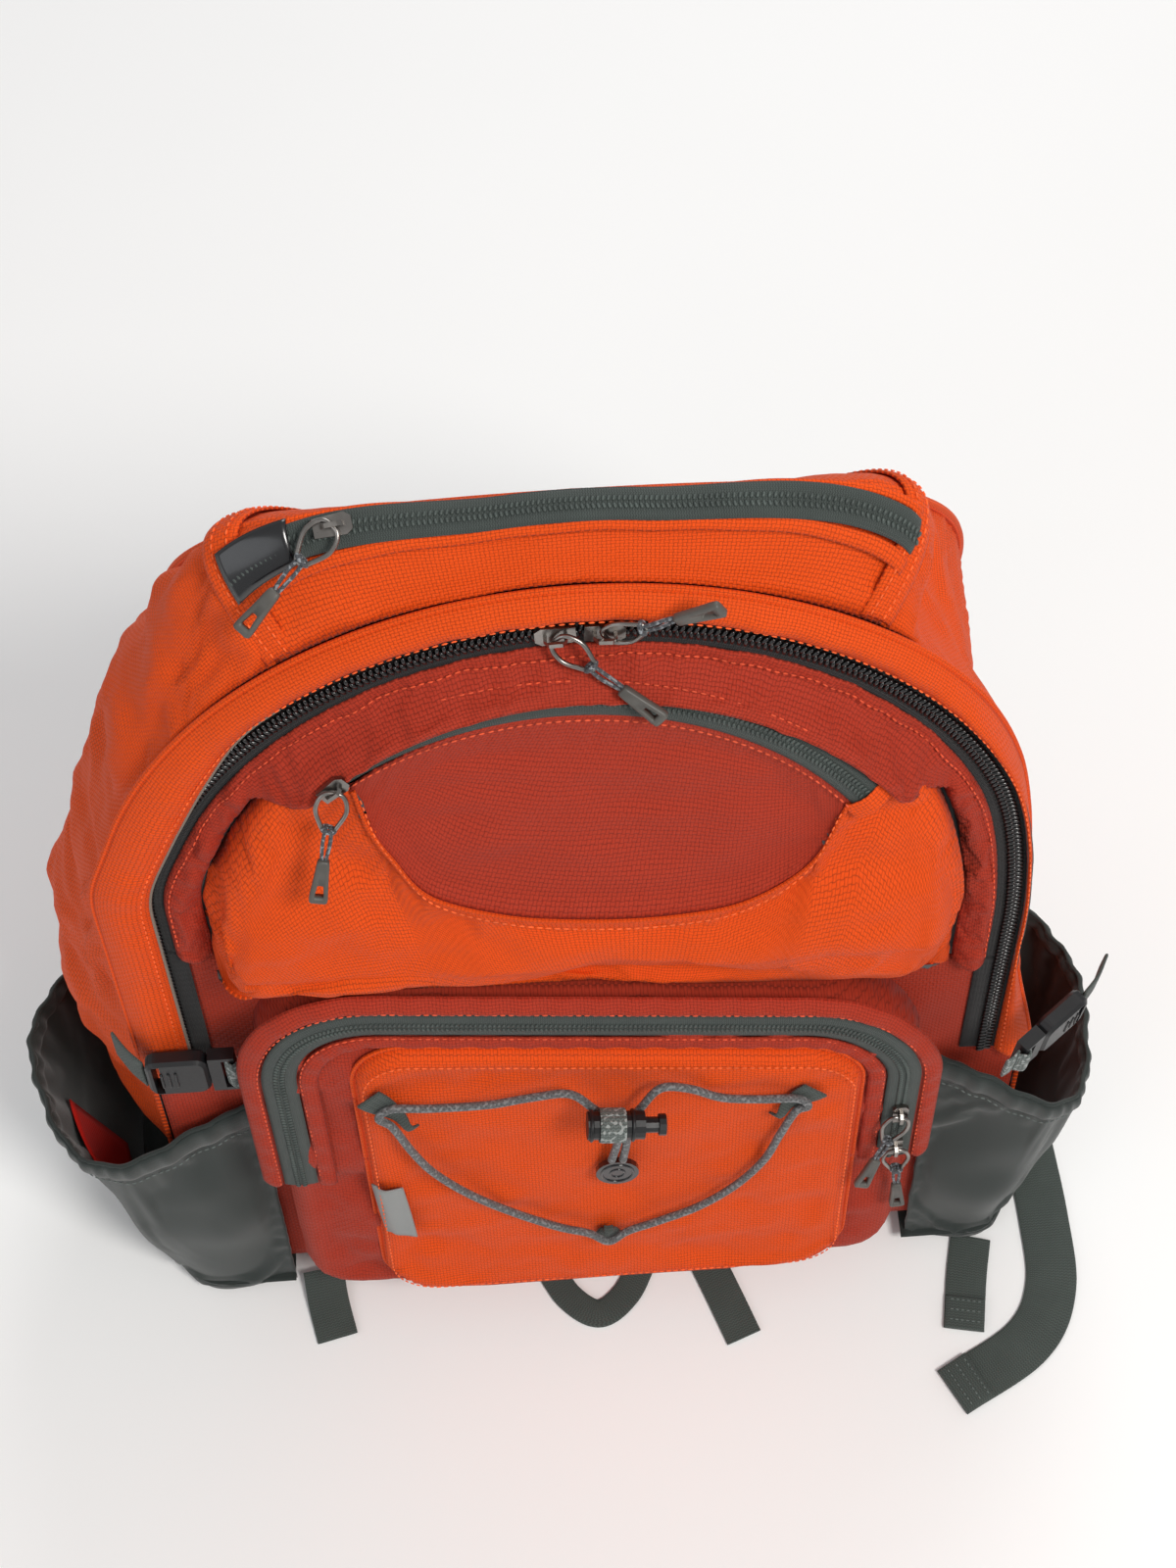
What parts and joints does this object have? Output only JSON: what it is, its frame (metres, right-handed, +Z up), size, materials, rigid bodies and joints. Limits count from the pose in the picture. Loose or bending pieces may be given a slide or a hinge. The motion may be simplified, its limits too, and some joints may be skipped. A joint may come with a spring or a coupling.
{
  "type": "travel backpack",
  "caption": "Upright travel daypack with an arched zip flap, curved upper pocket, lower pocket with a bungee, stretch side pockets, side buckles, padded back and shoulder straps.",
  "frame": {"origin": "middle of the bounding box, at the floor the pack stands on", "axes": "+Z up, -Y towards the front pockets, +X to the right of a viewer who faces the front"},
  "size_m": [0.4982, 0.345, 0.5031],
  "materials": {
    "orange_nylon": "coated plain-weave nylon, matt with a faint sheen",
    "rust_nylon": "coated plain-weave nylon, matt",
    "dark_fabric": "dark grey-green stretch and lining fabric",
    "back_mesh": "black spacer mesh over foam",
    "sheet_plastic": "plain stiff sheet",
    "black_zip": "black zip tape with coil teeth",
    "grey_zip": "dark grey-green zip tape, coil on the back",
    "gunmetal": "dark polished plating",
    "grey_cord": "braided elastic cord with light flecks",
    "black_plastic": "moulded, finely textured",
    "gloss_black": "glossy moulding",
    "webbing": "dark grey-green woven webbing"
  },
  "bodies": {
    "pack_body": {"back_panel": "dark_fabric", "frame_sheet": "sheet_plastic", "back_pad_left": "back_mesh", "back_pad_right": "back_mesh", "side_panel_left": "orange_nylon", "top_panel": "orange_nylon", "side_panel_right": "orange_nylon", "bottom_panel": "rust_nylon", "front_lower_panel": "rust_nylon", "arch_band": "orange_nylon", "main_zip_outer": "black_zip", "lower_pocket": "rust_nylon", "lower_pocket_front": "orange_nylon", "lower_pocket_zip": "grey_zip", "side_pocket_left": "dark_fabric", "side_pocket_right": "dark_fabric", "top_zip": "grey_zip", "bungee_cord": "grey_cord", "bungee_tab_left": "webbing", "bungee_tab_right": "webbing", "bungee_tab_bottom": "webbing", "cord_lock_barrel": "black_plastic", "cord_end_disc": "gloss_black", "buckle_male_left": "black_plastic", "pocket_strap_left": "webbing", "buckle_male_right": "black_plastic", "pocket_strap_right": "webbing", "shoulder_strap_left": "dark_fabric", "ladder_lock_left": "black_plastic", "strap_webbing_left": "webbing", "shoulder_strap_right": "dark_fabric", "ladder_lock_right": "black_plastic", "strap_webbing_right": "webbing", "haul_loop": "webbing", "waist_tail_left": "webbing", "waist_tail_right": "webbing", "short_tail_right": "webbing", "bottom_loop_middle": "webbing", "bottom_loop_right": "webbing"},
    "front_flap": {"flap_panel": "rust_nylon", "upper_pocket": "orange_nylon", "upper_pocket_zip": "grey_zip", "main_zip_inner": "black_zip"},
    "main_left_slider": {"main_left_slider": "gunmetal"},
    "main_left_pull": {"main_left_pull": "gunmetal"},
    "main_right_slider": {"main_right_slider": "gunmetal"},
    "main_right_pull": {"main_right_pull": "gunmetal"},
    "top_slider": {"top_slider": "gunmetal"},
    "top_pull": {"top_pull": "gunmetal"},
    "upper_slider": {"upper_slider": "gunmetal"},
    "upper_pull": {"upper_pull": "gunmetal"},
    "lower_first_slider": {"lower_first_slider": "gunmetal"},
    "lower_first_pull": {"lower_first_pull": "gunmetal"},
    "lower_second_slider": {"lower_second_slider": "gunmetal"},
    "lower_second_pull": {"lower_second_pull": "gunmetal"},
    "cord_lock_plunger": {"cord_lock_plunger": "black_plastic"},
    "buckle_left": {"buckle_female_left": "black_plastic", "compression_strap_left": "webbing"},
    "buckle_right": {"buckle_female_right": "black_plastic", "compression_strap_right": "webbing"}
  },
  "joints": [
    {"name": "flap_fold", "type": "hinge", "parent": "pack_body", "child": "front_flap", "pos_m": [0.01238, -0.05724, 0.26723], "axis": [0.9917, -0.0247, -0.1265], "range_deg": [0, 90]},
    {"name": "main_left_travel", "type": "hinge", "parent": "front_flap", "child": "main_left_slider", "pos_m": [0.01238, -0.02429, 0.2873], "axis": [0, -0.9815, 0.1914], "range_deg": [0, 20]},
    {"name": "main_right_travel", "type": "hinge", "parent": "front_flap", "child": "main_right_slider", "pos_m": [0.01238, -0.02429, 0.2873], "axis": [0, -0.9815, 0.1914], "range_deg": [-60, 0]},
    {"name": "top_travel", "type": "hinge", "parent": "pack_body", "child": "top_slider", "pos_m": [-0.03928, -0.06288, 0.24505], "axis": [-0.0391, 0.9364, -0.3488], "range_deg": [0, 8.3]},
    {"name": "upper_travel", "type": "hinge", "parent": "front_flap", "child": "upper_slider", "pos_m": [0.00738, -0.05454, 0.30497], "axis": [0, 0.9379, -0.3468], "range_deg": [0, 28]},
    {"name": "lower_first_travel", "type": "slide", "parent": "pack_body", "child": "lower_first_slider", "axis": [0, 0.1914, 0.9815], "range_m": [0, 0.028]},
    {"name": "lower_second_travel", "type": "slide", "parent": "pack_body", "child": "lower_second_slider", "axis": [0, 0.1914, 0.9815], "range_m": [-0.005, 0.005]},
    {"name": "main_left_pull_swing", "type": "hinge", "parent": "main_left_slider", "child": "main_left_pull", "pos_m": [0.00379, 0.00341, 0.45794], "axis": [-0.6182, -0.1504, -0.7715], "range_deg": [0, 100]},
    {"name": "main_right_pull_swing", "type": "hinge", "parent": "main_right_slider", "child": "main_right_pull", "pos_m": [0.02098, 0.00341, 0.45794], "axis": [0.5586, -0.1587, -0.8141], "range_deg": [0, 100]},
    {"name": "top_pull_swing", "type": "hinge", "parent": "top_slider", "child": "top_pull", "pos_m": [-0.06829, 0.02792, 0.50028], "axis": [-0.6982, 0.6443, 0.3122], "range_deg": [0, 100]},
    {"name": "upper_pull_swing", "type": "hinge", "parent": "upper_slider", "child": "upper_pull", "pos_m": [-0.07813, -0.02351, 0.40665], "axis": [-0.9761, 0.0754, 0.2039], "range_deg": [0, 100]},
    {"name": "lower_first_pull_swing", "type": "hinge", "parent": "lower_first_slider", "child": "lower_first_pull", "pos_m": [0.14438, -0.07971, 0.17445], "axis": [-0.9448, 0.0627, 0.3215], "range_deg": [0, 100]},
    {"name": "lower_second_pull_swing", "type": "hinge", "parent": "lower_second_slider", "child": "lower_second_pull", "pos_m": [0.14438, -0.08515, 0.14653], "axis": [-0.9958, -0.0175, -0.0896], "range_deg": [0, 100]},
    {"name": "cord_lock_press", "type": "slide", "parent": "pack_body", "child": "cord_lock_plunger", "axis": [-0.9949, 0.0193, 0.0991], "range_m": [0, 0.0045], "stiffness_N_per_m": 300},
    {"name": "buckle_left_release", "type": "slide", "parent": "pack_body", "child": "buckle_left", "axis": [-1, 0, 0], "range_m": [0, 0.018]},
    {"name": "buckle_right_release", "type": "slide", "parent": "pack_body", "child": "buckle_right", "axis": [0.8, 0.6, 0], "range_m": [0, 0.018]}
  ]
}
